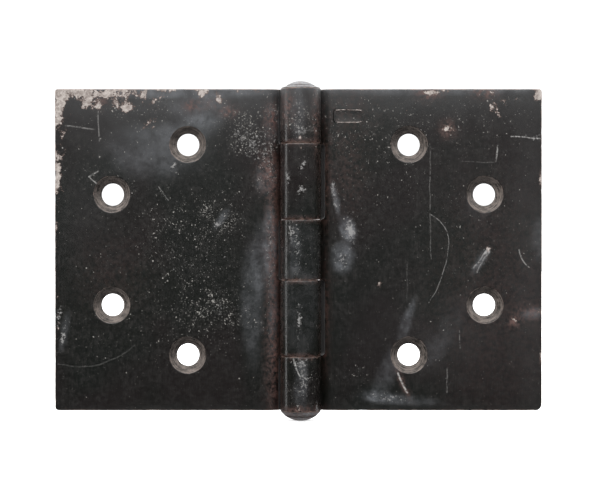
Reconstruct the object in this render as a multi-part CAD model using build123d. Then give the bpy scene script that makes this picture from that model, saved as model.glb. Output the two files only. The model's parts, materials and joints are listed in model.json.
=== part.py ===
from build123d import *
import os
from math import asin, degrees, radians, tan

# Wide-throw butt hinge with a loose pin, opened flat. Millimetres, +Z up.
# The pin's axis is the Z axis, and the origin is halfway up it. The frame leaf lies towards +X and the
# door leaf towards -X. The barrel and the countersunk faces look towards -Y. The two leaves are punched
# alike and rolled a little differently, so the pin's axis is off the middle of the open width.

# Driving dimensions
LEAF_HEIGHT = 101.0
OPEN_WIDTH = 153.0
ROLL_DIFFERENCE = 1.4
PLATE_THICKNESS = 3.3
BARREL_DIAMETER = 12.7
CLOSED_GAP = 1.6
CORNER_RADIUS = 1.2

# Knuckles: their joints are mirrored about mid-height
KNUCKLE_JOINTS = (9.45, 33.3)
KNUCKLE_GAP = 0.25
CURL_END_ANGLE = 24.0

# Each leaf's edge is hollowed beside the other leaf's knuckles, round the pin's axis
FRAME_LEAF_HOLLOW = 1.5
DOOR_LEAF_HOLLOW = 0.9
HOLLOW_CORNER_INSET = 0.2
EDGE_BEHIND_BARREL = 6.0

# Swaged step that brings each leaf nearer to the pin's axis
STEP_START = 11.0
STEP_END = 4.5

# Screw holes: the inner pair is near the barrel and the outer pair near the leaf's edge
INNER_HOLE_FROM_EDGE = 41.7
INNER_HOLE_SPACING = 66.2
OUTER_HOLE_FROM_EDGE = 17.9
OUTER_HOLE_SPACING = 34.8
HOLE_DIAMETER = 7.0
COUNTERSINK_DIAMETER = 11.5
COUNTERSINK_ANGLE = 82.0

# Pin and plug
RUNNING_CLEARANCE = 0.05
BUTTON_EDGE = 0.2
DOME_EDGE = 0.1
PIN_BUTTON_DIAMETER = 12.2
PIN_BUTTON_HEIGHT = 2.4
PIN_SHOULDER_HEIGHT = 0.8
PIN_DOME_DIAMETER = 8.9
PIN_TIP_TAPER = 1.5
PIN_TIP_LENGTH = 3.0
SEAT_GAP = 0.05
PLUG_BUTTON_DIAMETER = 12.5
PLUG_BUTTON_HEIGHT = 3.1
PLUG_SHOULDER_HEIGHT = 1.6
PLUG_DOME_DIAMETER = 9.2
PLUG_SHANK_LENGTH = 9.0
PLUG_TO_PIN_GAP = 1.0

# Worked out from the driving dimensions
TOP = LEAF_HEIGHT / 2
FRAME_LEAF_REACH = (OPEN_WIDTH - ROLL_DIFFERENCE) / 2
DOOR_LEAF_REACH = (OPEN_WIDTH + ROLL_DIFFERENCE) / 2
BARREL_RADIUS = BARREL_DIAMETER / 2
BORE_RADIUS = BARREL_RADIUS - PLATE_THICKNESS
CURL_MIDDLE = BARREL_RADIUS - PLATE_THICKNESS / 2
FACE_Y = CLOSED_GAP / 2
PLATE_MIDDLE = FACE_Y + PLATE_THICKNESS / 2
PIN_RADIUS = BORE_RADIUS - RUNNING_CLEARANCE

STEP_LENGTH = STEP_START - STEP_END
STEP_RISE = CURL_MIDDLE - PLATE_MIDDLE
STEP_RADIUS = (STEP_LENGTH**2 + STEP_RISE**2) / (4 * STEP_RISE)
STEP_ANGLE = degrees(asin(STEP_LENGTH / 2 / STEP_RADIUS))

JOINT_HEIGHTS = (-KNUCKLE_JOINTS[1], -KNUCKLE_JOINTS[0], KNUCKLE_JOINTS[0], KNUCKLE_JOINTS[1])

# Deep enough to cut through any part of a leaf
CUT_DEPTH = 2 * BARREL_DIAMETER


def sheet_side(outward, reach):
    """One side of the bent sheet, seen along the pin: outward is 1 for the back and -1 for the front."""
    half = outward * PLATE_THICKNESS / 2
    flat_y = PLATE_MIDDLE + half
    crest_y = CURL_MIDDLE + half
    Line((reach, flat_y), (STEP_START, flat_y))
    CenterArc((STEP_START, PLATE_MIDDLE + STEP_RADIUS), STEP_RADIUS - half, -90, -STEP_ANGLE)
    CenterArc((STEP_END, CURL_MIDDLE - STEP_RADIUS), STEP_RADIUS + half, 90 - STEP_ANGLE, STEP_ANGLE)
    Line((STEP_END, crest_y), (0, crest_y))
    return CenterArc((0, 0), crest_y, 90, 270 + CURL_END_ANGLE)


def bent_sheet(reach):
    """The whole height of one leaf before the other leaf's knuckles are cut out of its edge."""
    with BuildPart() as sheet:
        with BuildSketch(Plane.XY.offset(-TOP)):
            with BuildLine():
                back_curl = sheet_side(1, reach)
                front_curl = sheet_side(-1, reach)
                Line(back_curl @ 1, front_curl @ 1)
                Line((reach, FACE_Y), (reach, FACE_Y + PLATE_THICKNESS))
            make_face()
        extrude(amount=LEAF_HEIGHT)
    return sheet.part


def corner_rounding(reach):
    """What is cut from a leaf's two outer corners."""
    with BuildPart() as waste:
        with BuildSketch(Plane.XZ.offset(-CUT_DEPTH / 2)):
            with Locations((reach / 2, 0)):
                Rectangle(reach, LEAF_HEIGHT)
            RectangleRounded(2 * reach, LEAF_HEIGHT, CORNER_RADIUS, mode=Mode.SUBTRACT)
        extrude(amount=CUT_DEPTH)
    return waste.part


def knuckle_notch(bottom, top, hollow):
    """Room for the other leaf's knuckle: a round hollow with rounded corners, and a straight cut behind."""
    height = top - bottom
    middle = Pos(0, 0, (bottom + top) / 2)
    barrel_room = Cylinder(BARREL_RADIUS + hollow, height)
    rims = barrel_room.edges().filter_by(GeomType.CIRCLE)
    rounded_room = fillet(rims, hollow - HOLLOW_CORNER_INSET)
    straight_cut = Pos(EDGE_BEHIND_BARREL - CUT_DEPTH / 2, 0, 0) * Box(CUT_DEPTH, CUT_DEPTH, height)
    return middle * (rounded_room + straight_cut)


def notch_spans(first):
    """Bottom and top of each notch, for the knuckles first, first + 2 and so on, counted from below."""
    beyond = (-TOP - BARREL_RADIUS, *JOINT_HEIGHTS, TOP + BARREL_RADIUS)
    spans = []
    for index in range(first, len(beyond) - 1, 2):
        spans.append((beyond[index] - KNUCKLE_GAP / 2, beyond[index + 1] + KNUCKLE_GAP / 2))
    return spans


def hole_places(reach):
    """Where a leaf's screw holes are: the distance from the pin's axis, and the height."""
    places = []
    for from_edge, spacing in (
        (INNER_HOLE_FROM_EDGE, INNER_HOLE_SPACING),
        (OUTER_HOLE_FROM_EDGE, OUTER_HOLE_SPACING),
    ):
        for side in (-1, 1):
            places.append((reach - from_edge, side * spacing / 2))
    return places


def screw_hole(from_axis, height):
    """What is cut for one countersunk screw, entered from the front face."""
    hole_radius = HOLE_DIAMETER / 2
    rim_radius = COUNTERSINK_DIAMETER / 2
    sink_depth = (rim_radius - hole_radius) / tan(radians(COUNTERSINK_ANGLE / 2))
    front = Plane(origin=(from_axis, FACE_Y, height), x_dir=(1, 0, 0), z_dir=(0, -1, 0))
    drill = Cylinder(hole_radius, CUT_DEPTH)
    sink = Pos(0, 0, -sink_depth / 2) * Cone(hole_radius, rim_radius, sink_depth)
    return front * (drill + sink)


def leaf(reach, first_notch, hollow):
    """One leaf on the +X side. first_notch is the lowest knuckle that belongs to the other leaf."""
    body = bent_sheet(reach) - corner_rounding(reach)
    for bottom, top in notch_spans(first_notch):
        body -= knuckle_notch(bottom, top, hollow)
    for from_axis, height in hole_places(reach):
        body -= screw_hole(from_axis, height)
    return body


def dome(diameter, height):
    """A low dome on the XY plane, above a short straight edge."""
    radius = diameter / 2
    with BuildPart() as body:
        with BuildSketch(Plane.XZ):
            with BuildLine():
                Line((0, 0), (radius, 0))
                Line((radius, 0), (radius, DOME_EDGE))
                TangentArc((0, height), (radius, DOME_EDGE), tangent=(1, 0))
                Line((0, height), (0, 0))
            make_face()
        revolve(axis=Axis.Z)
    return body.part


def button(diameter, height, shoulder_height, dome_diameter):
    """A button on the XY plane, with its crown up: a flat rim, a sloping shoulder and a low dome."""
    slope = shoulder_height - BUTTON_EDGE
    rim = Pos(0, 0, BUTTON_EDGE / 2) * Cylinder(diameter / 2, BUTTON_EDGE)
    shoulder = Pos(0, 0, BUTTON_EDGE + slope / 2) * Cone(diameter / 2, dome_diameter / 2, slope)
    crown = Pos(0, 0, shoulder_height) * dome(dome_diameter, height - shoulder_height)
    return rim + shoulder + crown


def hinge_pin():
    """The loose pin, standing with its head just above the top knuckle and its tip above the plug."""
    tip = -TOP + PLUG_SHANK_LENGTH + PLUG_TO_PIN_GAP
    shank_bottom = tip + PIN_TIP_LENGTH
    seat = TOP + SEAT_GAP
    shank_length = seat - shank_bottom
    shank = Pos(0, 0, shank_bottom + shank_length / 2) * Cylinder(PIN_RADIUS, shank_length)
    taper = Pos(0, 0, tip + PIN_TIP_LENGTH / 2) * Cone(PIN_RADIUS - PIN_TIP_TAPER, PIN_RADIUS, PIN_TIP_LENGTH)
    head = button(PIN_BUTTON_DIAMETER, PIN_BUTTON_HEIGHT - SEAT_GAP, PIN_SHOULDER_HEIGHT, PIN_DOME_DIAMETER)
    return shank + taper + Pos(0, 0, seat) * head


def bottom_plug():
    """The button tip, whose shank is pressed into the lowest knuckle."""
    shank = Pos(0, 0, -TOP + PLUG_SHANK_LENGTH / 2) * Cylinder(BORE_RADIUS, PLUG_SHANK_LENGTH)
    tip = button(PLUG_BUTTON_DIAMETER, PLUG_BUTTON_HEIGHT, PLUG_SHOULDER_HEIGHT, PLUG_DOME_DIAMETER)
    return shank + Pos(0, 0, -TOP) * Rot(180, 0, 0) * tip


def main():
    os.makedirs("parts", exist_ok=True)
    nodes = {
        "frame_leaf": leaf(FRAME_LEAF_REACH, 1, FRAME_LEAF_HOLLOW),
        "door_leaf": mirror(leaf(DOOR_LEAF_REACH, 0, DOOR_LEAF_HOLLOW), about=Plane.YZ),
        "hinge_pin": hinge_pin(),
        "bottom_plug": bottom_plug(),
    }
    for name, shape in nodes.items():
        export_step(shape, f"parts/{name}.step")


main()
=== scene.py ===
import json
from math import asin, atan2, cos, exp, hypot, pi, radians, sin, sqrt, tan

import bmesh
import bpy
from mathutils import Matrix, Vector, noise


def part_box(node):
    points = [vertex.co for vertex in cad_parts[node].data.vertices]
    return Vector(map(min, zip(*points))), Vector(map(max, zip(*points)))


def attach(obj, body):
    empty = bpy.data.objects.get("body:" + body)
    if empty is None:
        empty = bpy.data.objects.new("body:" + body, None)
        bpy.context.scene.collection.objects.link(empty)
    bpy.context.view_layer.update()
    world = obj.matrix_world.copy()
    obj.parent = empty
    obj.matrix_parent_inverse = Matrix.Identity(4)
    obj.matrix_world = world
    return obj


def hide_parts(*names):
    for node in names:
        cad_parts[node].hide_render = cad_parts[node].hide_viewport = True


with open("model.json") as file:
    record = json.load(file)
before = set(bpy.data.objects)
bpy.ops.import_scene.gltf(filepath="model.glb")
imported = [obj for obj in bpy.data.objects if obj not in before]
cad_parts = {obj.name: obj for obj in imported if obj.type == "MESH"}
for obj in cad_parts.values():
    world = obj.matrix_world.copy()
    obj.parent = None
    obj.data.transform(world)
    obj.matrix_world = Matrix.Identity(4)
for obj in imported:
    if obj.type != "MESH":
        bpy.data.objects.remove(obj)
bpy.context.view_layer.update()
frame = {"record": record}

# A wide-throw butt hinge, open flat, in old worn black paint. Meshes are worked out in millimetres and
# written in metres. The pin's axis is Z, the frame leaf lies towards +X and the door leaf towards -X, and
# the countersunk faces look towards -Y.

MM = 0.001


# ---- sizes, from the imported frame

def in_mm(corner):
    return tuple(value / MM for value in corner)


MOUNTS = {mount["name"]: mount for mount in frame["record"]["mounts"]}
FRAME_REACH, BARREL, TOP = in_mm(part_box("frame_leaf")[1])
DOOR_REACH = -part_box("door_leaf")[0][0] / MM
MIDDLE = (FRAME_REACH - DOOR_REACH) / 2
PIN_LOW, PIN_HIGH = (in_mm(corner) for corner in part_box("hinge_pin"))
PLUG_LOW, PLUG_HIGH = (in_mm(corner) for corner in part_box("bottom_plug"))
BACK_Y = MOUNTS["frame_leaf_back"]["pos_m"][1] / MM

# Sizes that the frame's boxes and mounts don't hold
PLATE = 3.3
RUNNING_CLEARANCE = 0.05
KNUCKLE_JOINTS = (-33.3, -9.45, 9.45, 33.3)
KNUCKLE_GAP = 0.14
STEP_START = 11.0
STEP_END = 4.5
CURL_ANGLE = radians(294)
EDGE_BEHIND_BARREL = 6.0
FRAME_LEAF_HOLLOW = 1.5
DOOR_LEAF_HOLLOW = 0.9
FRAME_LEAF_CORNERS = (2.0, 0.9)
DOOR_LEAF_CORNERS = (1.3, 0.8)
HOLLOW_CORNER_INSET = 0.2
SINK_RADIUS = 5.75
SEAT_GAP = 0.05
PIN_TIP_TAPER = 1.5
PIN_TIP_LENGTH = 3.0
PIN_SHOULDER_HEIGHT = 0.8
PIN_DOME_RADIUS = 4.45
PLUG_SHOULDER_HEIGHT = 1.6
PLUG_DOME_RADIUS = 4.6
SINK_SLOPE = tan(radians(41))

BORE = BARREL - PLATE
CURL_MIDDLE = BARREL - PLATE / 2
PLATE_MIDDLE = BACK_Y - PLATE / 2
FACE_Y = BACK_Y - PLATE
STEP_RISE = CURL_MIDDLE - PLATE_MIDDLE
STEP_RADIUS = ((STEP_START - STEP_END) ** 2 + STEP_RISE**2) / (4 * STEP_RISE)
STEP_TURN = asin((STEP_START - STEP_END) / 2 / STEP_RADIUS)
STEP_ARC = STEP_RADIUS * STEP_TURN
CURL_FROM = 2 * STEP_ARC + STEP_END
CURL_TO = CURL_FROM + CURL_MIDDLE * CURL_ANGLE

# Mesh spacing and small roundings, and where they fade out
SPACING = 0.9
EDGE_ROUND = 0.34
EDGE_OFFSETS = (0, 0.04, 0.11, 0.21, 0.34, 0.6, 1.0, 1.5)
RIM_OFFSETS = (0, 0.04, 0.11, 0.21, 0.34, 0.7)
NOTCH_OFFSETS = (0, 0.12, 0.35, 0.65, 1.0, 1.35, 2.1)
WALL_TURNS = (radians(30), radians(60), radians(90))
RAMP_COLUMNS = 12
NOTCH_COLUMNS = 8
CURL_STEP = radians(5)
CURL_FADE = 6
CORNER_FADE = 4
WAVE_FADE = 6
HALVINGS = 40
SHARP_ANGLE = radians(35)
SEAM = 0.001

# The holes' patches of mesh and their painted shade, and the blank pad
HOLE_PATCH = 7.6
SINK_SHADE = 0.75
SHADE_UP = 0.93
SHADE_LEFT = 0.36
PAD_CENTRE = (15.55 + MIDDLE, 42.0)
PAD_HALF = (4.3, 1.9)
PAD_DEPTH = 0.16
PAD_PATCH = 1.6
PAD_SQUARENESS = 9
PAD_RIM_WEAR = 0.6

# Waves of the leaves, and small dents of their edges and of the buttons
WAVE_SIZE = 34
WAVE_DEPTH = 0.045
DENT_SIZE = 2.3
DENT_DEPTH = 0.2
DENT_REACH = 0.6
BUTTON_DENT_SIZE = 2.2
BUTTON_DENT_DEPTH = 0.03


# ---- small helpers

def lerp(a, b, t):
    return a + (b - a) * t


def smooth(a, b, value):
    """0 at a, 1 at b, and a smooth rise between."""
    t = min(1, max(0, (value - a) / (b - a)))
    return t * t * (3 - 2 * t)


def rounding(depth, radius):
    """How far a rounded edge stands back, depth below its end."""
    if depth >= radius:
        return 0
    return radius - sqrt(radius**2 - (radius - depth) ** 2)


def wobble(scale, *place):
    """Smooth noise from about -1 to 1, with features of about scale millimetres."""
    return noise.noise(Vector([value / scale for value in place]))


def spaced(start, stop, step):
    """Even values between start and stop, both left out, about a step apart."""
    count = max(1, round(abs(stop - start) / step))
    return [lerp(start, stop, index / count) for index in range(1, count)]


def nearest(values, wanted):
    return min(range(len(values)), key=lambda index: abs(values[index] - wanted))


# ---- a leaf's cross-section

def sheet_point(along, offset):
    """x and y on a leaf: along its middle line from the step's start, and offset towards its back."""
    if along <= 0:
        return STEP_START - along, PLATE_MIDDLE + offset
    if along <= STEP_ARC:
        turn = along / STEP_RADIUS
        radius = STEP_RADIUS - offset
        return STEP_START - radius * sin(turn), PLATE_MIDDLE + STEP_RADIUS - radius * cos(turn)
    if along <= 2 * STEP_ARC:
        turn = (2 * STEP_ARC - along) / STEP_RADIUS
        radius = STEP_RADIUS + offset
        return STEP_END + radius * sin(turn), CURL_MIDDLE - STEP_RADIUS + radius * cos(turn)
    if along <= CURL_FROM:
        return CURL_FROM - along, CURL_MIDDLE + offset
    turn = (along - CURL_FROM) / CURL_MIDDLE
    radius = CURL_MIDDLE + offset
    return -radius * sin(turn), radius * cos(turn)


def reach_of(offset, is_cut):
    """How far along the step, going towards the barrel, the sheet runs before is_cut(x, y) holds."""
    low, high = 0, 2 * STEP_ARC
    for _ in range(HALVINGS):
        middle = (low + high) / 2
        low, high = (low, middle) if is_cut(*sheet_point(middle, offset)) else (middle, high)
    return low


def notch_front(radius):
    """How far along the front face runs before a hollow of that radius round the pin's axis."""
    return reach_of(-PLATE / 2, lambda x, y: hypot(x, y) < radius or x < EDGE_BEHIND_BARREL)


NOTCH_BACK = reach_of(PLATE / 2, lambda x, y: x < EDGE_BEHIND_BARREL)


# ---- leaves

class Leaf:
    """One leaf's mesh, built towards +X from rings of points, one ring at each height.

    side is where the leaf lies in the end: 1 towards +X and -1 towards -X. corners are the radii of its
    bottom and top corners. marked holds the points that have wear or painted shade of their own, and how
    much.
    """

    def __init__(self, name, side, reach, lowest_is_knuckle, hollow, corners):
        self.name = name
        self.side = side
        self.reach = reach
        self.hollow = hollow
        self.bottom_corner, self.top_corner = corners
        self.points = []
        self.faces = []
        self.marked = {kind: {} for kind in ("bare", "painted_shade", "edge", "loss")}
        self.knuckle_front = notch_front(BARREL + HOLLOW_CORNER_INSET)
        self.columns = self.lay_columns()
        self.rows = [self.make_row(*row) for row in self.lay_rows(lowest_is_knuckle)]
        self.patches = []
        self.add_holes()

    # -- where the rows and columns are

    def lay_columns(self):
        """The plate's columns from the outer edge to the step, as distances along the sheet."""
        edge = [self.reach - offset for offset in EDGE_OFFSETS if offset >= EDGE_ROUND]
        inward = edge + spaced(edge[-1], STEP_START, SPACING) + [STEP_START]
        return [STEP_START - x for x in inward]

    def lay_rows(self, lowest_is_knuckle):
        """Height, kinds and depth of each row: two kinds where a knuckle and a notch meet."""
        planes = [-TOP]
        is_knuckle = lowest_is_knuckle
        for joint in KNUCKLE_JOINTS:
            planes.append(joint - KNUCKLE_GAP / 2 if is_knuckle else joint + KNUCKLE_GAP / 2)
            is_knuckle = not is_knuckle
        planes.append(TOP)
        rows = []
        is_knuckle = lowest_is_knuckle
        for low, high in zip(planes, planes[1:]):
            offsets = RIM_OFFSETS if is_knuckle else NOTCH_OFFSETS
            from_low = EDGE_OFFSETS if low == -TOP else offsets
            from_high = EDGE_OFFSETS if high == TOP else offsets
            heights = [low + offset for offset in from_low]
            heights += spaced(low + from_low[-1], high - from_high[-1], SPACING)
            heights += [high - offset for offset in reversed(from_high)]
            for height in heights:
                depth = min(abs(height - plane) for plane in (low, high) if abs(plane) < TOP)
                if rows and rows[-1][0] == height:
                    rows[-1] = (height, (rows[-1][1][0], is_knuckle), 0)
                else:
                    rows.append((height, (is_knuckle,), depth))
            is_knuckle = not is_knuckle
        return rows

    # -- the points of one row

    def put(self, x, y, z):
        self.points.append((x, y, z))
        return len(self.points) - 1

    def mark(self, kind, points, strength=1):
        self.marked[kind].update(dict.fromkeys(points, strength))

    def place(self, along, offset, height):
        x, y = sheet_point(along, offset)
        return self.put(x - self.corner_pull(x, height), y, height)

    def corner_pull(self, x, height):
        """How far the leaf's rounded corners pull a point in."""
        radius = self.bottom_corner if height < 0 else self.top_corner
        near_corner = smooth(self.reach - CORNER_FADE, self.reach - EDGE_ROUND, x)
        return rounding(TOP - abs(height), radius) * near_corner

    def make_row(self, height, kinds, depth):
        half = PLATE / 2 - rounding(TOP - abs(height), EDGE_ROUND)
        radius = BARREL + HOLLOW_CORNER_INSET
        reach = self.knuckle_front
        if kinds == (False,):
            radius = BARREL + self.hollow - rounding(depth, self.hollow - HOLLOW_CORNER_INSET)
            reach = notch_front(radius)
        shares = [index / RAMP_COLUMNS for index in range(1, RAMP_COLUMNS + 1)]
        front = [self.place(along, -half, height) for along in self.columns]
        front += [self.place(reach * share, -half, height) for share in shares]
        back = [self.place(NOTCH_BACK * share, half, height) for share in reversed(shares)]
        back += [self.place(along, half, height) for along in reversed(self.columns)]
        inner_edge = {}
        if True in kinds:
            inner_edge[True] = self.knuckle(height, half, rounding(depth, EDGE_ROUND))
        if False in kinds:
            inner_edge[False] = self.notch_edge(height, half, radius, reach)
        return {"height": height, "kinds": kinds, "front": front, "back": back,
                "inner_edge": inner_edge, "outer_edge": self.outer_edge(half, height)}

    def outer_edge(self, half, height):
        """The leaf's rounded outer edge, from its back face to its front face."""
        turns = [(1, turn) for turn in WALL_TURNS] + [(-1, turn) for turn in reversed(WALL_TURNS)]
        edge = []
        for side, turn in turns:
            x = self.reach - EDGE_ROUND * (1 - sin(turn))
            y = PLATE_MIDDLE + side * (half - EDGE_ROUND * (1 - cos(turn)))
            edge.append(self.put(x - self.corner_pull(x, height), y, height))
        return edge

    def notch_edge(self, height, half, radius, reach):
        """The hollow edge beside the other leaf's knuckle, from its front face to its back face."""
        start = sheet_point(reach, -half)[1]
        stop = sheet_point(NOTCH_BACK, half)[1]
        edge = []
        for index in range(1, NOTCH_COLUMNS):
            y = lerp(start, stop, index / NOTCH_COLUMNS)
            x = max(EDGE_BEHIND_BARREL, sqrt(max(0, radius**2 - y**2)))
            edge.append(self.put(x, y, height))
        # painted shade on the hollow edge, where the other knuckle shades it
        self.mark("painted_shade", edge)
        return edge

    def knuckle(self, height, half, pull):
        """The knuckle's inner face, its cut end and its outer face. pull rounds its rims."""
        steps = round((CURL_TO - self.knuckle_front) / (CURL_STEP * CURL_MIDDLE))
        fades = [(index, pull * smooth(0, CURL_FADE, index)) for index in range(1, steps + 1)]
        inner = [self.place(lerp(self.knuckle_front, CURL_TO, index / steps), fade - half, height)
                 for index, fade in fades]
        end = [self.place(CURL_TO, (half - pull) * share, height) for share in (-0.4, 0.4)]
        outer = [self.place(lerp(NOTCH_BACK, CURL_TO, index / steps), half - fade, height)
                 for index, fade in reversed(fades)]
        # painted shade on the knuckle's inner face and its cut end
        self.mark("painted_shade", inner + end)
        return inner + end + outer

    # -- faces

    def ring(self, row, is_knuckle):
        return row["front"] + row["inner_edge"][is_knuckle] + row["back"] + row["outer_edge"]

    def fill(self):
        """All the faces, once the patches are known."""
        for index, (low, high) in enumerate(zip(self.rows, self.rows[1:])):
            is_knuckle = low["kinds"][-1]
            low_ring, high_ring = self.ring(low, is_knuckle), self.ring(high, is_knuckle)
            back_start = len(low_ring) - len(low["outer_edge"]) - len(self.columns)
            for place, quad in enumerate(self.between(low_ring, high_ring)):
                back_column = len(self.columns) - 2 - (place - back_start)
                if not (self.patched("front", index, place) or self.patched("back", index, back_column)):
                    self.faces.append(quad)
        for row in (self.rows[0], self.rows[-1]):
            self.faces.append(tuple(self.ring(row, row["kinds"][0])))
        for row in self.rows:
            if len(row["kinds"]) == 2:
                knuckle, notch = row["inner_edge"][True], row["inner_edge"][False]
                self.faces.append((row["front"][-1], *knuckle, row["back"][0], *reversed(notch)))

    def drop_unused(self):
        """Drops the grid's points inside the patches, which no face uses."""
        used = sorted({index for face in self.faces for index in face})
        new_index = {old: new for new, old in enumerate(used)}
        self.points = [self.points[index] for index in used]
        self.faces = [tuple(new_index[index] for index in face) for face in self.faces]
        for kind, places in self.marked.items():
            kept = {new_index[old]: strength for old, strength in places.items() if old in new_index}
            self.marked[kind] = kept

    @staticmethod
    def between(loop, next_loop):
        """The quads between two closed loops with the same number of points."""
        count = len(loop)
        return [(loop[index], loop[(index + 1) % count], next_loop[(index + 1) % count], next_loop[index])
                for index in range(count)]

    def patched(self, face, row, column):
        return any(face in faces and rows[0] <= row < rows[1] and columns[0] <= column < columns[1]
                   for faces, rows, columns in self.patches)

    def patch(self, faces, centre, half_sizes):
        """Takes a rectangle out of the plate's grid, and gives the loop round it on each face."""
        (x, z), (half_x, half_z) = centre, half_sizes
        heights = [row["height"] for row in self.rows]
        places = [STEP_START - along for along in self.columns]
        low, high = nearest(heights, z - half_z), nearest(heights, z + half_z)
        first, last = nearest(places, x + half_x), nearest(places, x - half_x)
        self.patches.append((faces, (low, high), (first, last)))
        corners = [(low, column) for column in range(first, last)]
        corners += [(row, last) for row in range(low, high)]
        corners += [(high, column) for column in range(last, first, -1)]
        corners += [(row, first) for row in range(high, low, -1)]
        loops = {"front": [self.rows[row]["front"][column] for row, column in corners],
                 "back": [self.rows[row]["back"][-1 - column] for row, column in corners]}
        return [loops[face] for face in faces]

    def directions(self, loop, x, z):
        return [atan2(self.points[index][2] - z, self.points[index][0] - x) for index in loop]

    def halfway(self, loop, other, y):
        """A loop halfway between two loops."""
        middle = []
        for a, b in zip(loop, other):
            (ax, _, az), (bx, _, bz) = self.points[a], self.points[b]
            middle.append(self.put((ax + bx) / 2, y, (az + bz) / 2))
        return middle

    def add_holes(self):
        for line in ("inner", "outer"):
            mount = MOUNTS[f"{self.name}_{line}_holes"]
            for side in (-1, 1):
                z = side * mount["dims"]["spacing_y_mm"] / 2
                self.add_hole(abs(mount["pos_m"][0]) / MM, z, mount["dims"]["hole_r_mm"])

    def add_hole(self, x, z, radius):
        """A countersunk hole, in rings: radius, depth below the front face, how bare and how worn.

        The cone has painted shade towards its top, and a little more so to the left.
        """
        front, back = self.patch(("front", "back"), (x, z), (HOLE_PATCH, HOLE_PATCH))
        turns = self.directions(front, x, z)
        rim, sink = SINK_RADIUS, (SINK_RADIUS - radius) / SINK_SLOPE
        rings = (
            (rim + 0.7, 0, 0, 0), (rim + 0.25, 0, 0, 0), (rim + 0.08, 0.004, 0, 0.6),
            (rim, 0.04, 0.45, 0.8), (rim - 0.08, 0.12, 1, 0.3),
            (lerp(rim, radius, 0.3), sink * 0.3 + 0.03, 1, 0),
            (lerp(rim, radius, 0.65), sink * 0.65 + 0.02, 1, 0.2),
            (radius + 0.1, sink - 0.1, 1, 0.9), (radius + 0.02, sink + 0.02, 1, 1),
            (radius, sink + 0.14, 1, 0.6), (radius, PLATE - 0.16, 1, 0),
            (radius + 0.05, PLATE - 0.04, 1, 0), (radius + 0.16, PLATE, 0.4, 0),
            (radius + 0.9, PLATE, 0, 0),
        )
        loops = []
        for ring_radius, depth, bare, worn in rings:
            loop = [self.put(x + ring_radius * cos(turn), FACE_Y + depth, z + ring_radius * sin(turn))
                    for turn in turns]
            self.mark("bare", loop, bare)
            self.mark("edge", loop, worn)
            for index, turn in zip(loop, turns):
                # painted shade on the cone, strongest towards its upper left
                to_upper_left = SHADE_UP * sin(turn) - SHADE_LEFT * self.side * cos(turn)
                self.mark("painted_shade", [index], SINK_SHADE * bare * smooth(-0.2, 0.95, to_upper_left))
            loops.append(loop)
        loops.insert(0, self.halfway(front, loops[0], FACE_Y))
        loops.append(self.halfway(loops[-1], back, BACK_Y))
        self.join(front, *loops, back)

    def join(self, *loops):
        for loop, next_loop in zip(loops, loops[1:]):
            self.faces += self.between(loop, next_loop)

    def add_pad(self):
        """A shallow blank pad with round corners, pressed into the front face. Its rim is worn.

        In rings: how far outside the pad's outline, depth below the front face and how worn.
        """
        (x, z), (half_x, half_z) = PAD_CENTRE, PAD_HALF
        border, = self.patch(("front",), PAD_CENTRE, (half_x + PAD_PATCH, half_z + PAD_PATCH))
        turns = self.directions(border, x, z)
        rings = ((0.35, 0, 0), (0.15, 0, 0.75), (0.02, 0.02, 1),
                 (-0.06, PAD_DEPTH - 0.03, 0.75), (-0.22, PAD_DEPTH, 0))
        loops = []
        for grow, depth, worn in rings:
            loop = []
            for turn in turns:
                reach = pad_reach(turn, half_x + grow, half_z + grow)
                loop.append(self.put(x + reach * cos(turn), FACE_Y + depth, z + reach * sin(turn)))
                level = smooth(0.7, 0.95, abs(reach * sin(turn)) / half_z)
                self.mark("loss", loop[-1:], worn * level)
                self.mark("edge", loop[-1:], PAD_RIM_WEAR * worn * (1 - level))
            loops.append(loop)
        self.join(border, *loops)
        self.faces.append(tuple(loops[-1]))


def pad_reach(turn, half_x, half_z):
    """How far a rectangle with rounded corners reaches in one direction from its centre."""
    across, up = abs(cos(turn) / half_x), abs(sin(turn) / half_z)
    return (across**PAD_SQUARENESS + up**PAD_SQUARENESS) ** (-1 / PAD_SQUARENESS)


def leaf_piece(leaf, material):
    """Turns a leaf's points into an object, on the leaf's own side."""
    leaf.fill()
    leaf.drop_unused()
    points = [worn_point(leaf.side * x, y, z) for x, y, z in leaf.points]
    piece = mesh_piece(f"painted_{leaf.name}", points, leaf.faces, material)
    wear = [leaf_wear(x, y, z) for x, y, z in points]
    for kind, places in leaf.marked.items():
        for index, value in places.items():
            wear[index][kind] = value
    paint_wear(piece, wear)
    return piece


def to_outer_edge(x):
    """How far a place on either leaf is from the leaf's outer edge."""
    return FRAME_REACH - x if x > 0 else DOOR_REACH + x


def worn_point(x, y, z):
    """The slight waves of an old leaf, and the small dents along its edges."""
    on_plate = smooth(STEP_START, STEP_START + WAVE_FADE, abs(x))
    y += WAVE_DEPTH * on_plate * wobble(WAVE_SIZE, x, 0, z)
    from_side, from_end = to_outer_edge(x), TOP - abs(z)
    to_edge = min(from_side, from_end)
    if abs(x) > BARREL + 2 and to_edge < DENT_REACH:
        near_edge = 1 - smooth(0.1, DENT_REACH, to_edge)
        dent = DENT_DEPTH * max(0, wobble(DENT_SIZE, x, y, z) - 0.1) * near_edge
        if from_side < from_end:
            x -= dent if x > 0 else -dent
        else:
            z -= dent if z > 0 else -dent
    return x, y, z


def add_object(name, data):
    added = bpy.data.objects.new(name, data)
    bpy.context.scene.collection.objects.link(added)
    return added


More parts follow.
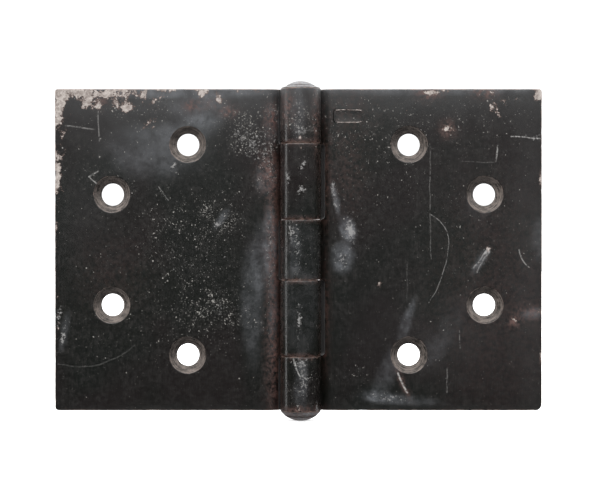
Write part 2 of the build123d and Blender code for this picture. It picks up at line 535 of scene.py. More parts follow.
def mesh_piece(name, points, faces, material):
    mesh = bpy.data.meshes.new(name)
    mesh.from_pydata([tuple(value * MM for value in point) for point in points], [], faces)
    work = bmesh.new()
    work.from_mesh(mesh)
    bmesh.ops.recalc_face_normals(work, faces=work.faces)
    work.to_mesh(mesh)
    work.free()
    mesh.shade_smooth()
    mesh.set_sharp_from_angle(angle=SHARP_ANGLE)
    mesh.materials.append(material)
    return add_object(name, mesh)


# ---- where the paint is worn

WEAR_KINDS = ("loss", "speck", "haze_and_sheen", "scuff", "rust", "fade", "edge", "barrel", "bare", "painted_shade")

# Soft marks on the front: distance from the middle of the open width, height, half-length,
# half-width, turn of the length from +X in degrees, and strength.
MARKS = {}

# paint gone down to the primer
MARKS["loss"] = (
    (-70, 49.4, 6, 2.3, 0, 1), (-57, 49.5, 8, 1.7, 0, 0.95), (-38, 50.3, 12, 0.9, 0, 0.75),
    (-75.4, 43.5, 9, 2.6, 90, 1), (-75.6, 24, 9, 1.9, 90, 0.95), (-76.2, 5, 9, 0.8, 90, 0.62),
    (-66, 45.1, 3.4, 1.8, 0, 0.9), (-54.3, 43.8, 2.6, 2.4, 20, 0.9), (-46.5, 40, 4.2, 2.6, 60, 0.66),
    (-25, 47.3, 3.4, 1.3, 110, 0.82), (-75.9, -24, 6.5, 1.1, 90, 0.62), (-60, 46.6, 9, 3, 0, 0.5),
    (-76, -13, 3, 1, 90, 0.6), (-73, -50.2, 7, 0.8, 0, 0.55), (-66, 31, 5, 4, 0, 0.4),
    (-48.4, 47.4, 3, 1.1, 80, 0.8), (-44, 47.5, 3, 1.2, 30, 0.7), (-31, 48.6, 3.4, 1.4, 20, 0.66),
    (-16, 49.8, 6, 1.2, 0, 0.55), (75.8, 49, 2.8, 2.4, 90, 1), (61.8, 45.5, 3.2, 1.5, 65, 0.8),
    (63, 42.2, 1.8, 1.1, 110, 0.7), (66.5, 46.2, 3, 1.6, 20, 0.62), (46.9, 38, 2.2, 2, 60, 0.97),
    (33.8, 43.3, 1.4, 1.2, 0, 0.55), (41, 49.3, 3, 1.7, 0, 0.88), (45.6, 49.7, 2.8, 1.1, 0, 0.72),
    (59.9, 0.2, 1.2, 1.1, 56, 1), (58.6, 49.8, 3.4, 1.2, 0, 0.74), (76.2, 22, 5, 1.3, 90, 0.85),
    (74.6, -19.9, 3.2, 1.2, 12, 0.82), (76.2, -33.5, 4, 1, 90, 0.72), (67.8, -22.5, 1.6, 1, 0, 0.7),
    (25.5, -10.5, 0.9, 0.9, 0, 0.8), (0.8, 34.7, 3.2, 1, 0, 0.82), (0.9, 31.6, 1.6, 0.9, 0, 0.78),
    (0.6, 19, 1.6, 1, 0, 0.5), (0.6, -34.4, 3.4, 0.9, 0, 0.66), (0.4, -49.4, 4.2, 1.2, 0, 0.62),
    (0.6, 49.8, 3.4, 1, 0, 0.7), (-24.6, 30.4, 5, 1.2, 152, 0.55),
)

# fine light specks
MARKS["speck"] = (
    (-15, 34, 10.5, 6.5, 160, 1), (-9.8, 24.5, 6.5, 3.6, 90, 0.9), (-9, 40, 7, 3, 90, 0.9),
    (-15, 41, 8, 4, 0, 0.8), (-34, 8, 20, 12, 25, 0.8), (-30, -15, 17, 13, 0, 0.75),
    (-48, 43, 26, 7, 0, 0.6), (-62, 22, 14, 10, 0, 0.45), (-24, 9, 6, 4, 0, 0.8),
    (-60, -30, 16, 14, 0, 0.3), (0.7, 42, 10, 8, 0, 0.8), (0.7, 0, 6, 9, 0, 0.7), (0.7, -42, 6, 8, 0, 0.8),
    (55, 42, 20, 8, 0, 0.5), (60, 0, 16, 14, 0, 0.3), (18, -38, 7, 7, 0, 0.5), (20, 36, 14, 15, 0, 0.55),
    (40, 25, 20, 22, 0, 0.3), (15, 12, 6, 16, 0, 0.4), (-8.4, 0, 26, 2, 90, 0.5), (-26, -24, 12, 9, 0, 0.5),
)

# a thin pale bluish film: dust and smears of dried putty, and painted reflection patches at the upper left,
# the lower right and along the top
MARKS["haze_and_sheen"] = (
    (-14.6, -17, 18, 3.4, 91, 0.12), (-12, -4, 12, 2.6, 90, 0.1), (-45, 31, 14, 8, 0, 0.13),
    (-31, 44, 9, 5, 0, 0.14), (-34, 38, 9, 4, 10, 0.14), (-10.2, 22.4, 6, 3.2, 84, 0.12),
    (-24.2, 9.8, 3.6, 1.2, 55, 0.2), (-8, -18, 13, 1.2, 90, 0.12), (0.8, -11, 24, 6, 90, 0.04),
    (-9, 3, 11, 2.2, 90, 0.26), (-8, -22, 16, 1.9, 90, 0.05), (-8.4, 40, 6, 2.6, 90, 0.12),
    (35.4, -18.6, 4, 0.8, 70, 0.14), (33.6, -23.6, 5.6, 1.7, 72, 0.16), (28, -38.6, 9.6, 3, 66, 0.11),
    (25.2, -46, 4.6, 2, 172, 0.3), (32, -47.2, 12, 1.6, 176, 0.14), (46, -26, 12, 3.6, 58, 0.04),
    (40, -33, 9, 3, 24, 0.05), (13.9, -2.4, 4.5, 3.5, 84, 0.36), (15.4, 6.6, 3.8, 2.3, 104, 0.4),
    (11.7, 15.6, 5.4, 0.9, 102, 0.24), (57.3, -3.4, 4.6, 1.2, 56, 0.2), (76, 3, 7, 2.6, 90, 0.1),
    (57, 15, 6, 4, 60, 0.05), (74, -20, 4, 1.6, 10, 0.16), (-0.2, 43, 9, 2.4, 90, 0.08),
    (-40, 49.4, 34, 1.6, 0, 0.22), (40, 50, 40, 1.2, 0, 0.14), (-1, -0.5, 8, 1.8, 90, 0.1),
    (0.8, -42, 8, 2.2, 90, 0.12), (-73.6, -26, 6, 1.2, 80, 0.12),
)

# paint scuffed grey
MARKS["scuff"] = (
    (11.4, 16, 5.2, 0.8, 100, 0.66), (10.9, 20.5, 1.8, 0.8, 90, 0.5), (16.4, 6.2, 4.2, 1.5, 100, 1),
    (13.9, -2.6, 4.4, 3, 84, 0.5), (57.4, -3.6, 3.6, 0.9, 56, 0.5), (59.4, -0.5, 1.6, 1, 56, 1),
    (-24.6, 9, 3, 1, 52, 0.5), (-25.6, 7.6, 1.2, 0.8, 52, 0.7), (-75.3, -20.5, 3.4, 1, 80, 0.8),
    (-74, -27.5, 4.4, 1, 75, 0.8), (34.6, -18.6, 5.6, 1, 72, 0.35), (27.5, -46.4, 7.6, 1.5, 172, 0.62),
    (74.6, 35.3, 3, 0.8, 0, 0.8), (-9.6, 24.5, 6.4, 3, 90, 0.34), (-14, 34, 9, 6, 160, 0.55),
    (-0.4, 1, 8.5, 1.3, 92, 0.55), (1.6, -40, 6.5, 2, 90, 0.66), (0, -35, 3, 1, 0, 0.66),
    (0.2, 42.5, 8, 1.8, 90, 0.42), (1.6, 37, 3, 1.6, 20, 0.5), (1.4, 26.2, 1.8, 0.8, 66, 0.85),
    (-3.4, 22.8, 2.4, 0.8, 100, 0.8), (0.3, -22, 6, 0.9, 88, 0.8), (1, 18.6, 2, 1.4, 0, 0.9),
    (-8.6, 2, 10, 2, 90, 0.45), (-39, 26.6, 2.2, 1, 60, 0.8), (-2.4, 6.2, 3, 0.9, 90, 0.8),
    (50.4, 38.6, 3, 1, 140, 0.4), (-30, -4, 16, 2, 12, 0.3), (-24, -19, 4, 2, 0, 0.5),
)

# brown and pink stains
MARKS["rust"] = (
    (-62.5, 46, 1.8, 1.8, 0, 1), (-33.5, 45.2, 2.2, 1.6, 0, 1), (-22, 43.4, 2.4, 1.6, 0, 1),
    (-8.4, 41.4, 4.4, 2, 90, 1), (-9.5, 24.5, 6, 3.2, 90, 0.7), (-7.8, 5, 20, 2.1, 90, 0.8),
    (-7.8, -32, 20, 2.3, 90, 0.8), (67.8, -22.5, 1.9, 1.6, 0, 0.9), (46.9, 37.9, 2.4, 2.2, 60, 0.9),
    (41, 49.2, 3.6, 2.2, 0, 0.9), (58.6, 49.6, 3.6, 2, 0, 0.8), (62, -14, 20, 34, 0, 0.12),
    (14, 44, 12, 8, 0, 0.15), (-58, -8, 12, 12, 0, 0.1), (15, 25, 6, 12, 0, 0.2),
    (32.9, -42, 4.4, 0.8, 115, 0.9), (0.7, 33.4, 6.4, 0.7, 0, 0.7), (0.7, 9.5, 6.4, 0.7, 0, 0.7),
    (0.7, -9.5, 6.4, 0.7, 0, 0.7), (0.7, -33.2, 6.4, 0.7, 0, 0.7), (0.7, -50, 6, 1.2, 0, 0.8),
    (-3.4, 45, 6, 1.8, 90, 0.7), (5.4, 40, 9, 0.8, 90, 0.6), (8.4, 22, 12, 1.6, 90, 0.5),
    (8.4, -20, 16, 1.6, 90, 0.4), (-27, 45.6, 4, 2, 0, 0.3), (72.6, -19.8, 4, 2, 0, 0.6),
)

# paint faded by the weather, and along the top a painted highlight of the light from above
MARKS["fade"] = (
    (-46, 56, 50, 14, 0, 1), (42, 57, 62, 11.5, 0, 1), (-46, 33, 15, 8, 0, 0.42), (73, 0, 6, 60, 0, 0.2),
    (46, -28, 20, 14, 0, 0.12), (0, -54, 90, 4, 0, 0.3), (56, -2, 24, 34, 0, 0.06),
    (-68, 14, 9, 16, 0, 0.12),
)

# Wear on the back and the edges: feature size, where its noise starts and is full, and strength
BACK_WEAR = {
    "loss": (14, 0.2, 0.6, 0.52), "speck": (25, -0.3, 0.5, 0.5), "haze_and_sheen": (30, -0.2, 0.7, 0.06),
    "scuff": (26, 0, 0.6, 0.3), "rust": (22, 0, 0.6, 0.3), "fade": (45, -0.5, 0.6, 0.3),
}

# Where a mark's fading and the front face end, and how much narrower rubbing is at a joint
MARK_END = 6
HAZE_STEEPNESS = 2.4
BACK_SHIFT = 60
PLATE_FRONT_END = FACE_Y + 0.2
STEP_FRONT_END = 2.4
JOINT_RUBBING = 1.8


def marks_at(kind, x, z):
    """How strong the marks of one kind are together at a place on the front."""
    total = 0
    for mark_x, mark_z, half_length, half_width, turn, strength in MARKS[kind]:
        across, up = x - MIDDLE - mark_x, z - mark_z
        cosine, sine = cos(radians(turn)), sin(radians(turn))
        lengthways = (across * cosine + up * sine) / half_length
        sideways = (up * cosine - across * sine) / half_width
        away = lengthways**2 + sideways**2
        if kind == "haze_and_sheen":
            away **= HAZE_STEEPNESS
        if away < MARK_END:
            total += strength * exp(-away)
    return min(1, total)


def leaf_wear(x, y, z):
    """What the paint is like at a place on a leaf: a number from 0 to 1 for each kind of wear, and of
    painted light and shade.
    """
    on_barrel = hypot(x, y) < BARREL + 0.1 and (y < 2 or abs(x) < STEP_END)
    front_end = PLATE_FRONT_END if abs(x) > STEP_START else STEP_FRONT_END
    front = 1 - smooth(front_end, front_end + 1, y)
    wear = {kind: marks_at(kind, x, z) * front for kind in MARKS}
    for place, (kind, (size, low, high, strength)) in enumerate(BACK_WEAR.items()):
        noisy = smooth(low, high, wobble(size, x + BACK_SHIFT * place, y, z))
        wear[kind] += (1 - front) * strength * noisy
    to_edge = min(to_outer_edge(x), TOP - abs(z))
    if on_barrel:
        to_joint = min(abs(z - joint) for joint in KNUCKLE_JOINTS) - KNUCKLE_GAP / 2
        to_edge = min(to_edge, to_joint * JOINT_RUBBING)
    to_corner = min(y - FACE_Y, BACK_Y - y) if abs(x) > STEP_START else 0
    edge = (1 - smooth(0.05, 0.55, to_edge)) * (1 - 0.5 * smooth(0.2, EDGE_ROUND, to_corner))
    return wear | {"edge": edge, "barrel": int(on_barrel), "bare": 0, "painted_shade": 0}


GROOVE_START = (4.3, 4.7)
GROOVE_END = (4.9, 5.6)


def button_wear(x, y, z):
    """What the paint is like on the pin and the plug: shafts are bare, and buttons are worn and rusty. The
    top button is paler, partly as a painted highlight, and the plug's groove has painted shade.
    """
    radius = hypot(x, y)
    outside = smooth(TOP - 0.1, TOP + 0.1, abs(z))
    groove = smooth(*GROOVE_START, radius) * (1 - smooth(*GROOVE_END, radius))
    pale = outside if z > 0 else 0.35 * outside
    return {
        "loss": 0.3 * pale, "speck": 0.8, "haze_and_sheen": 0.75 * pale, "scuff": 0.8 * pale,
        "rust": 0.5 + 0.5 * groove * outside, "fade": pale, "edge": 0, "barrel": 1,
        "bare": 1 - outside, "painted_shade": 0.7 * groove * outside if z < 0 else 0,
    # the plug's groove gets painted shade
    }


def paint_wear(piece, wear):
    """Stores the wear, and the painted light and shade, on the mesh, where the paint's nodes read it."""
    for kind in WEAR_KINDS:
        layer = piece.data.attributes.new(kind, "FLOAT", "POINT")
        layer.data.foreach_set("value", [place[kind] for place in wear])


# ---- pin and plug

SIDES = 96


def turned_piece(name, profile, material):
    """A turned part. profile is its outline from one end to the other, as radius and height."""
    points, faces, rings = [], [], []
    for radius, height in profile:
        sides = SIDES if radius else 1
        rings.append(range(len(points), len(points) + sides))
        for side in range(sides):
            turn = 2 * pi * side / SIDES
            x, y = radius * cos(turn), radius * sin(turn)
            dent = BUTTON_DENT_DEPTH * wobble(BUTTON_DENT_SIZE, x, y, height)
            reach = radius + (dent if radius and abs(height) > TOP else 0)
            points.append((reach * cos(turn), reach * sin(turn), height))
    for ring, next_ring in zip(rings, rings[1:]):
        for side in range(SIDES):
            after = (side + 1) % SIDES
            corners = (ring[side % len(ring)], ring[after % len(ring)],
                       next_ring[after % len(next_ring)], next_ring[side % len(next_ring)])
            faces.append(tuple(dict.fromkeys(corners)))
    piece = mesh_piece(name, points, faces, material)
    paint_wear(piece, [button_wear(*point) for point in points])
    return piece


def button(radius, height, shoulder_height, dome_radius, seat, way):
    """A button's outline: a rim, a sloping shoulder and a low dome. way is 1 for up and -1 for down."""
    slope_start = (radius - 0.05, 0.22)
    slope_end = (dome_radius + 0.3, shoulder_height - 0.1)
    outline = [(radius - 0.3, 0), (radius - 0.05, 0.02), (radius, 0.08)]
    for share in (0, 0.25, 0.5, 0.75, 1):
        outline.append(tuple(lerp(a, b, share) for a, b in zip(slope_start, slope_end)))
    outline += [(dome_radius - 0.1, shoulder_height - 0.04), (dome_radius, shoulder_height + 0.08)]
    rise = height - shoulder_height - 0.1
    curve = (dome_radius**2 + rise**2) / (2 * rise)
    steps = 18
    for index in range(steps):
        turn = asin(dome_radius / curve) * (1 - index / steps)
        outline.append((curve * sin(turn), height - curve * (1 - cos(turn))))
    outline.append((0, height))
    return [(reach, seat + way * up) for reach, up in outline]


def make_pin(material):
    """A shaft with a tapered tip, under a button."""
    shaft = BORE - RUNNING_CLEARANCE
    tip = PIN_LOW[2]
    seat = TOP + SEAT_GAP
    taper_top = tip + PIN_TIP_LENGTH
    radius = PIN_HIGH[0] - BUTTON_DENT_DEPTH
    outline = [(0, tip), (shaft - PIN_TIP_TAPER - 0.2, tip), (shaft - PIN_TIP_TAPER, tip + 0.2)]
    outline += [(shaft - 0.1, taper_top - 0.2), (shaft, taper_top), (shaft, 0), (shaft, seat)]
    outline += button(radius, PIN_HIGH[2] - seat, PIN_SHOULDER_HEIGHT, PIN_DOME_RADIUS, seat, 1)
    return turned_piece("pin_with_button_head", outline, material)


def make_plug(material):
    """A short shaft over a button that points down."""
    end = PLUG_HIGH[2]
    outline = [(0, end), (BORE - 0.4, end), (BORE, end - 0.4), (BORE, -TOP - SEAM)]
    height = -TOP - PLUG_LOW[2]
    radius = PLUG_HIGH[0] - BUTTON_DENT_DEPTH
    outline += button(radius, height, PLUG_SHOULDER_HEIGHT, PLUG_DOME_RADIUS, -TOP, -1)
    return turned_piece("bottom_button_plug", outline, material)


# ---- materials

GREENISH_PAINT = (0.0016, 0.0023, 0.0015)
REDDISH_PAINT = (0.0038, 0.0024, 0.0022)
# faded paint, also a painted highlight towards the top
FADE_AND_SHEEN_PAINT = (0.036, 0.037, 0.038)
DUSTY_PAINT = (0.0125, 0.0115, 0.0106)
# pale bluish film, also a painted reflection
HAZE_AND_SHEEN = (0.2, 0.21, 0.23)
RUST = (0.08, 0.036, 0.028)
SPECK = (0.2, 0.19, 0.175)
SCUFF = (0.17, 0.165, 0.16)
FRINGE = (0.07, 0.04, 0.03)
PRIMER = (0.255, 0.227, 0.208)
DIRTY_PRIMER = (0.13, 0.107, 0.095)
RUBBED = (0.19, 0.125, 0.1)
DARK_STEEL = (0.02, 0.017, 0.014)
WORN_STEEL = (0.14, 0.115, 0.101)
# painted shade
PAINTED_SHADE_COLOUR = (0.012, 0.009, 0.008)
SCRATCH = (0.36, 0.35, 0.335)


class Nodes:
    """A node tree, and short ways to add to it. A value is a number, a vector or another node's output."""

    def __init__(self, tree):
        self.nodes = tree.nodes
        self.links = tree.links

    def feed(self, socket, value):
        if isinstance(value, bpy.types.NodeSocket):
            self.links.new(value, socket)
        else:
            socket.default_value = value

    def add(self, kind, *values, **named):
        """A new node. Values feed its inputs in order, and named values the inputs of those names."""
        node = self.nodes.new(f"ShaderNode{kind}")
        for socket, value in zip(node.inputs, values):
            self.feed(socket, value)
        for name, value in named.items():
            self.feed(node.inputs[name], value)
        return node

    def math(self, operation, *values):
        node = self.add("Math", *values)
        node.operation = operation
        return node.outputs[0]

    def vector(self, operation, *values, output="Vector"):
        node = self.add("VectorMath", *values)
        node.operation = operation
        return node.outputs[output]

    def parts(self, value):
        """A vector's X, Y and Z."""
        return self.add("SeparateXYZ", value).outputs

    def rise(self, value, low, high, start=0.0, stop=1.0):
        """start where value is low, stop where it is high, and smooth between."""
        node = self.add("MapRange", value, low, high, start, stop)
        node.interpolation_type = "SMOOTHSTEP"
        return node.outputs[0]

    def between(self, factor, a, b):
        """A number from a to b."""
        node = self.add("Mix", factor)
        self.feed(node.inputs[2], a)
        self.feed(node.inputs[3], b)
        return node.outputs[0]

    def chain(self, operation, first, *others):
        for other in others:
            first = self.math(operation, first, other)
        return first

    def product(self, *values):
        return self.chain("MULTIPLY", *values)

    def most(self, *values):
        return self.chain("MAXIMUM", *values)

    def total(self, *values):
        return self.chain("ADD", *values)


class Surface(Nodes):
    """A material whose one Principled shader is fed by nodes. All its lengths are in millimetres."""

    def __init__(self, name):
        self.material = bpy.data.materials.new(name)
        self.material.use_nodes = True
        super().__init__(self.material.node_tree)
        self.shader = self.nodes["Principled BSDF"]
        self.place = self.vector("MULTIPLY", self.add("TexCoord").outputs["Object"], (1 / MM,) * 3)

    def blend(self, factor, a, b):
        """A colour from a to b."""
        node = self.add("Mix", factor)
        node.data_type = "RGBA"
        for socket, colour in ((node.inputs[6], a), (node.inputs[7], b)):
            self.feed(socket, colour if isinstance(colour, bpy.types.NodeSocket) else (*colour, 1))
        return node.outputs[2]

    def wear(self, kind):
        node = self.add("Attribute")
        node.attribute_name = kind
        return node.outputs["Fac"]

    def moved(self, seed, stretch=None):
        """The place for a noise: moved by its seed, so that no two noises are alike, and stretched."""
        place = self.vector("ADD", self.place, (seed * 37.1, seed * 17.3, seed * 53.9))
        return self.vector("MULTIPLY", place, stretch) if stretch else place

    def noise(self, size, detail, roughness, seed, stretch=None, output="Fac"):
        """Noise from 0 to 1 with features of about size."""
        place = self.moved(seed, stretch)
        node = self.add("TexNoise", Vector=place, Scale=1 / size, Detail=detail, Roughness=roughness)
        return node.outputs[output]

    def specks(self, size, amount, seed):
        """Small uneven light spots with features of about size. More of them where amount is high."""
        above = self.total(self.noise(size, 2, 0.8, seed), self.product(amount, 0.1))
        return self.rise(above, 0.715, 0.8)

    def dots(self, size, amount, radius, seed):
        """Round spots, one in each of some cells of a size."""
        cells = self.add("TexVoronoi", Vector=self.moved(seed), Scale=1 / size).outputs
        chance = self.add("SeparateColor", cells["Color"]).outputs
        chosen = self.rise(chance[0], self.math("SUBTRACT", 1.0, amount), 1.0)
        inside = self.math("SUBTRACT", self.product(chosen, radius / size), cells["Distance"])
        paleness = self.total(self.product(chance[1], 0.8), 0.2)
        return self.product(self.rise(inside, 0.0, 0.06 / size), paleness)


# Long scratches on the front: from x, z to x, z, measured like the marks, then width, bow and strength.
# SHAKE is how far their unevenness moves them
SCRATCHES = (
    (-73.2, 38.9, -64, 38, 0.4, 0, 0.22), (-62.6, 43.6, -62.7, 34.2, 0.3, 0.15, 0.2),
    (-75.2, -35.9, -51.3, -30, 0.36, 3, 0.08), (67, 35.7, 77, 35, 0.34, 0, 0.45),
    (62.6, 33, 62, 27.9, 0.4, 0, 0.4), (51, 27.6, 62, 27.6, 0.24, 0.2, 0.1),
    (41.5, 32.3, 41.7, -3, 0.3, 0.2, 0.11), (41.7, 11.2, 47.2, 3.5, 0.24, -1, 0.28),
    (47.2, 3.5, 41, -16.7, 0.26, -1.6, 0.19), (55, -5.8, 59.3, 0.4, 0.4, 0.3, 0.3),
    (56.2, -7, 60, -0.8, 0.4, -0.3, 0.24), (34.1, -4, 34.1, -15.8, 0.3, 0, 0.07),
    (69.3, -0.1, 72.8, -5.7, 0.34, 0.7, 0.3), (50.6, -25.4, 50.6, -31, 0.28, 0, 0.18),
    (31.3, -38.8, 34.4, -45.1, 0.5, 0.3, 0.55), (46.7, -36.6, 46.7, -45, 0.28, 0, 0.18),
    (-1.4, -34, 0.6, -39.4, 0.36, 0.2, 0.5), (-43.8, 20, -40.8, 15.6, 0.32, 0, 0.2),
    (-65.9, 22.9, -62.9, 24.6, 0.4, 0, 0.5), (-65.9, 22.9, -63.4, 20.8, 0.34, 0, 0.4),
)
SHAKE = 1.4


def segment_group():
    """A node group: how strongly a place is on a thin bowed line from A to B, from 0 to 1."""
    group = bpy.data.node_groups.new("scratch_line", "ShaderNodeTree")
    kinds = {"Place": "Vector", "A": "Vector", "B": "Vector", "Width": "Float", "Bow": "Float"}
    for name, kind in kinds.items():
        group.interface.new_socket(name, in_out="INPUT", socket_type=f"NodeSocket{kind}")
    group.interface.new_socket("Line", in_out="OUTPUT", socket_type="NodeSocketFloat")
    tree = Nodes(group)
    given, result = tree.nodes.new("NodeGroupInput"), tree.nodes.new("NodeGroupOutput")
    place, start, end, width, bow = given.outputs[:5]
    line = tree.vector("SUBTRACT", end, start)
    away = tree.vector("SUBTRACT", place, start)
    length = tree.vector("LENGTH", line, output="Value")
    lengthways = tree.vector("DOT_PRODUCT", away, line, output="Value")
    along = tree.math("DIVIDE", lengthways, tree.product(length, length))
    across = tree.math("DIVIDE", tree.parts(tree.vector("CROSS_PRODUCT", line, away))["Y"], length)
    bowed = tree.product(tree.product(along, tree.math("SUBTRACT", 1.0, along)), tree.product(bow, 4.0))
    off_line = tree.math("ABSOLUTE", tree.math("SUBTRACT", across, bowed))
    from_middle = tree.math("ABSOLUTE", tree.math("SUBTRACT", along, 0.5))
    past_end = tree.product(tree.math("SUBTRACT", from_middle, 0.5), length)
    distance = tree.total(off_line, tree.most(past_end, 0.0))
    tree.feed(result.inputs[0], tree.rise(distance, 0.0, width, 1.0, 0.0))
    return group


def scratches(paint):
    """All the long scratches together, a little uneven and broken up."""
    group = segment_group()
    shake = paint.vector("SUBTRACT", paint.noise(8, 2, 0.5, 30, output="Color"), (0.5, 0.5, 0.5))
    place = paint.vector("ADD", paint.place, paint.vector("MULTIPLY", shake, (SHAKE,) * 3))
    place = paint.vector("MULTIPLY", place, (1, 0, 1))
    lines = 0.0
    for x1, z1, x2, z2, width, bow, strength in SCRATCHES:
        node = paint.add("Group")
        node.node_tree = group
        start, end = (x1 + MIDDLE, 0, z1), (x2 + MIDDLE, 0, z2)
        for socket, value in zip(node.inputs, (place, start, end, width, bow)):
            paint.feed(socket, value)
        lines = paint.most(lines, paint.product(node.outputs[0], strength))
    broken = paint.rise(paint.noise(0.8, 2, 0.6, 31), 0.3, 0.6)
    on_front = paint.math("LESS_THAN", paint.parts(paint.place)["Y"], FACE_Y + 0.4)
    return paint.product(lines, broken, on_front)


def worn_paint(name, with_scratches):
    """Old, near-black paint on steel: faded, hazy, specked, scuffed, chipped, and worn at its edges, with
    painted shade in its hollows, a painted highlight towards the top and painted reflection patches.
    """
    paint = Surface(name)
    loss, speck, haze_and_sheen, scuff, rust, fade, edge, barrel, bare, painted_shade = map(paint.wear, WEAR_KINDS)
    broad = paint.noise(30, 2, 0.5, 1)
    cloud = paint.noise(6, 3, 0.6, 2)
    mottle = paint.noise(1.5, 3, 0.7, 3)
    streaks = paint.noise(0.4, 2, 0.7, 4, stretch=(1, 1, 0.12))

    # the paint itself, thin or dusty in places, and faded, partly as a painted highlight towards the top
    colour = paint.blend(paint.rise(broad, 0.4, 0.6), GREENISH_PAINT, REDDISH_PAINT)
    fade_and_sheen = paint.product(fade, paint.rise(cloud, 0.15, 0.75, 0.45, 1.0))
    colour = paint.blend(fade_and_sheen, colour, FADE_AND_SHEEN_PAINT)
    grain = paint.total(paint.product(mottle, 0.55), paint.product(streaks, 0.45))
    dusty = paint.product(paint.rise(grain, 0.42, 0.66), paint.rise(cloud, 0.35, 0.65, 0.25, 0.9))
    colour = paint.blend(dusty, colour, DUSTY_PAINT)

    # a pale film that is also a painted reflection, and rusty stains
    patchy = paint.rise(cloud, 0.3, 0.62, 0.35, 1.0)
    film_and_sheen = paint.product(haze_and_sheen, patchy, paint.rise(mottle, 0.25, 0.65, 0.45, 1.0))
    colour = paint.blend(film_and_sheen, colour, HAZE_AND_SHEEN)
    stain = paint.product(rust, paint.rise(paint.noise(1.2, 3, 0.75, 5), 0.36, 0.66))
    colour = paint.blend(paint.product(stain, 0.9), colour, RUST)

    # small light specks of three kinds
    clustered = paint.product(speck, paint.rise(cloud, 0.3, 0.65, 0.35, 1.0))
    spots = paint.most(
        paint.specks(0.55, paint.total(paint.product(clustered, 1.35), 0.05), 6),
        paint.specks(1.2, paint.product(clustered, 1.1), 7),
        paint.dots(1.5, paint.total(paint.product(clustered, 0.22), 0.008), 0.28, 8),
    )
    colour = paint.blend(paint.product(spots, 0.8), colour, SPECK)

    # scuffs, chips to the primer with a rusty fringe, and rubbed edges
    rubbing = paint.total(paint.noise(0.75, 3, 0.75, 9), paint.product(scuff, 0.34))
    scuffed = paint.rise(rubbing, 0.68, 0.84)
    flaking = paint.total(paint.noise(2.3, 5, 0.7, 10), paint.product(loss, 0.36))
    fringe = paint.rise(flaking, 0.72, 0.77)
    chip = paint.rise(flaking, 0.77, 0.795)
    wearing = paint.total(paint.product(edge, 0.55), paint.noise(1.7, 3, 0.75, 11))
    rubbed = paint.rise(wearing, 0.86, 1.08)
    colour = paint.blend(paint.product(scuffed, 0.75), colour, SCUFF)
    colour = paint.blend(paint.product(fringe, 0.8), colour, FRINGE)
    primer = paint.blend(paint.rise(mottle, 0.35, 0.65), PRIMER, DIRTY_PRIMER)
    colour = paint.blend(chip, colour, primer)
    colour = paint.blend(paint.product(rubbed, 0.7), colour, RUBBED)

    # countersinks are turned metal; painted shade darkens and dulls the hollow edges, the knuckles'
    # insides, the countersinks' upper left and the plug's groove
    rings = paint.noise(0.3, 2, 0.7, 12, stretch=(0.08, 1, 0.08))
    turned = paint.total(paint.product(rings, 0.6), paint.product(mottle, 0.4))
    sink = paint.blend(paint.rise(turned, 0.38, 0.62), DARK_STEEL, WORN_STEEL)
    scraped = paint.product(bare, paint.rise(cloud, 0.15, 0.35, 0.7, 1.0))
    colour = paint.blend(scraped, colour, sink)
    # painted shade
    colour = paint.blend(paint.product(painted_shade, 0.9), colour, PAINTED_SHADE_COLOUR)
    if with_scratches:
        colour = paint.blend(scratches(paint), colour, SCRATCH)
    paint.feed(paint.shader.inputs["Base Color"], colour)

    # smooth paint on the barrel, and duller where it is faded, stained or worn
    rough = paint.rise(mottle, 0.3, 0.7, 0.275, 0.305)
    rough = paint.between(barrel, rough, paint.rise(cloud, 0.35, 0.65, 0.22, 0.28))
    rough = paint.between(paint.product(paint.most(film_and_sheen, fade_and_sheen), 0.8), rough, 0.46)
    rough = paint.between(paint.most(fringe, stain, paint.product(scuffed, scuffed)), rough, 0.6)
    rough = paint.between(paint.most(scraped, rubbed), rough, 0.55)
    paint.feed(paint.shader.inputs["Roughness"], paint.between(painted_shade, rough, 0.8))
    paint.feed(paint.shader.inputs["Metallic"], paint.product(scraped, 0.4))

    # small bumps, and chips a little deeper than the paint
    height = paint.total(paint.product(mottle, 0.02), paint.product(streaks, 0.003))
    height = paint.math("SUBTRACT", height, paint.product(chip, 0.03))
    bump = paint.add("Bump", Strength=1.0, Distance=MM, Height=height)
    paint.feed(paint.shader.inputs["Normal"], bump.outputs[0])
    return paint.material


# ---- studio

DARK_FRONT = 0.05
BRIGHT_ABOVE = 1.9
BRIGHT_BEHIND = 0.35
WHITE_SEEN = 1.2
GLOW_HEIGHTS = (0.03, 0.34)
GLOW_DEPTHS = (0.0, 0.7)


def make_world():
    """A pale studio: white to the camera, dark in front and below, bright from above the horizon."""
    world = bpy.data.worlds.new("studio")
    bpy.context.scene.world = world
    world.use_nodes = True
    tree = Nodes(world.node_tree)
    background = tree.nodes["Background"]
    direction = tree.parts(tree.add("TexCoord").outputs["Generated"])
    above = tree.rise(direction["Z"], *GLOW_HEIGHTS, DARK_FRONT, BRIGHT_ABOVE)
    behind = tree.rise(direction["Y"], *GLOW_DEPTHS, 0.0, BRIGHT_BEHIND)
    is_seen = tree.add("LightPath").outputs["Is Camera Ray"]
    tree.feed(background.inputs["Strength"], tree.between(is_seen, tree.total(above, behind), WHITE_SEEN))
    background.inputs["Color"].default_value = (0.985, 0.992, 1.0, 1)


def add_softbox(name, azimuth, elevation, distance, size, power):
    """An area light that faces the origin. Azimuth 0 is in front, at -Y, and 90 is at +X."""
    light = bpy.data.lights.new(name, "AREA")
    light.shape = "RECTANGLE"
    light.size, light.size_y = size
    light.energy = power
    lamp = add_object(name, light)
    turn, up = radians(azimuth), radians(elevation)
    flat = distance * cos(up)
    lamp.location = (flat * sin(turn), -flat * cos(turn), distance * sin(up))
    lamp.rotation_euler = (-lamp.location).to_track_quat("-Z", "Y").to_euler()


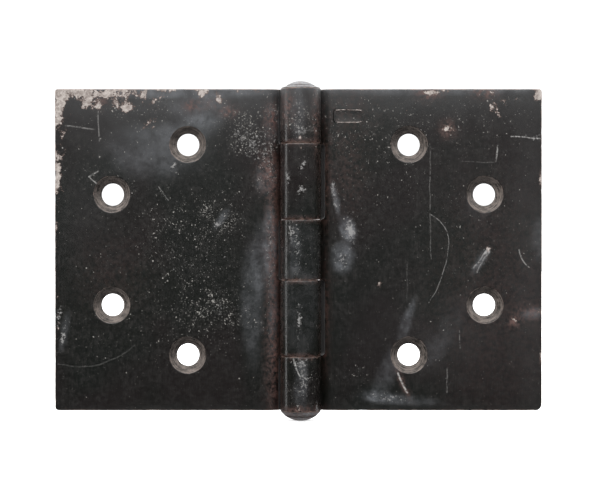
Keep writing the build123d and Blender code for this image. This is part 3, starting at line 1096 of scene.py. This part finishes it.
def make_floor():
    """A pale floor that the button tip stands on."""
    half = 3.0
    low = PLUG_LOW[2] * MM
    mesh = bpy.data.meshes.new("floor")
    corners = [(half * x, half * y, low) for x, y in ((-1, -1), (1, -1), (1, 1), (-1, 1))]
    mesh.from_pydata(corners, [], [(0, 1, 2, 3)])
    floor = add_object("floor", mesh)
    material = bpy.data.materials.new("pale_floor")
    material.use_nodes = True
    shader = material.node_tree.nodes["Principled BSDF"]
    shader.inputs["Base Color"].default_value = (0.93, 0.93, 0.93, 1)
    shader.inputs["Roughness"].default_value = 0.9
    shader.inputs["Emission Color"].default_value = (1, 1, 1, 1)
    shader.inputs["Emission Strength"].default_value = 0.55
    mesh.materials.append(material)
    floor.visible_glossy = False


VIEW_DISTANCE = 550
VIEW_WIDTH = 188.5
VIEW_CENTRE = (-0.2, 1.8)


def make_camera():
    """A camera that looks straight at the leaves, from the front."""
    data = bpy.data.cameras.new("camera")
    data.sensor_width = 36
    data.lens = data.sensor_width * VIEW_DISTANCE / VIEW_WIDTH
    data.clip_start, data.clip_end = 0.01, 20
    camera = add_object("camera", data)
    camera.location = (VIEW_CENTRE[0] * MM, (FACE_Y - VIEW_DISTANCE) * MM, VIEW_CENTRE[1] * MM)
    camera.rotation_euler = (radians(90), 0, 0)
    bpy.context.scene.camera = camera


# ---- the hinge

leaf_paint = worn_paint("worn_black_paint", True)
button_paint = worn_paint("worn_button_paint", False)

frame_leaf = Leaf("frame_leaf", 1, FRAME_REACH, True, FRAME_LEAF_HOLLOW, FRAME_LEAF_CORNERS)
frame_leaf.add_pad()
door_leaf = Leaf("door_leaf", -1, DOOR_REACH, False, DOOR_LEAF_HOLLOW, DOOR_LEAF_CORNERS)
for piece, node, body, slot in (
    (leaf_piece(frame_leaf, leaf_paint), "frame_leaf", "frame_leaf_body", "worn_black_paint"),
    (leaf_piece(door_leaf, leaf_paint), "door_leaf", "door_leaf_body", "worn_black_paint"),
    (make_pin(button_paint), "hinge_pin", "pin_body", "worn_button_paint"),
    (make_plug(button_paint), "bottom_plug", "frame_leaf_body", "worn_button_paint"),
):
    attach(piece, body)
    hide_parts(node)

make_world()
add_softbox("left_strip", -91, 3, 1.1, (0.08, 1.1), 2.2)
add_softbox("right_strip", 106, 3, 1.1, (0.08, 1.1), 3.5)
add_softbox("top_soft", -18, 62, 1.3, (1.2, 0.7), 12)
make_floor()
make_camera()
bpy.context.scene.view_settings.view_transform = "Standard"
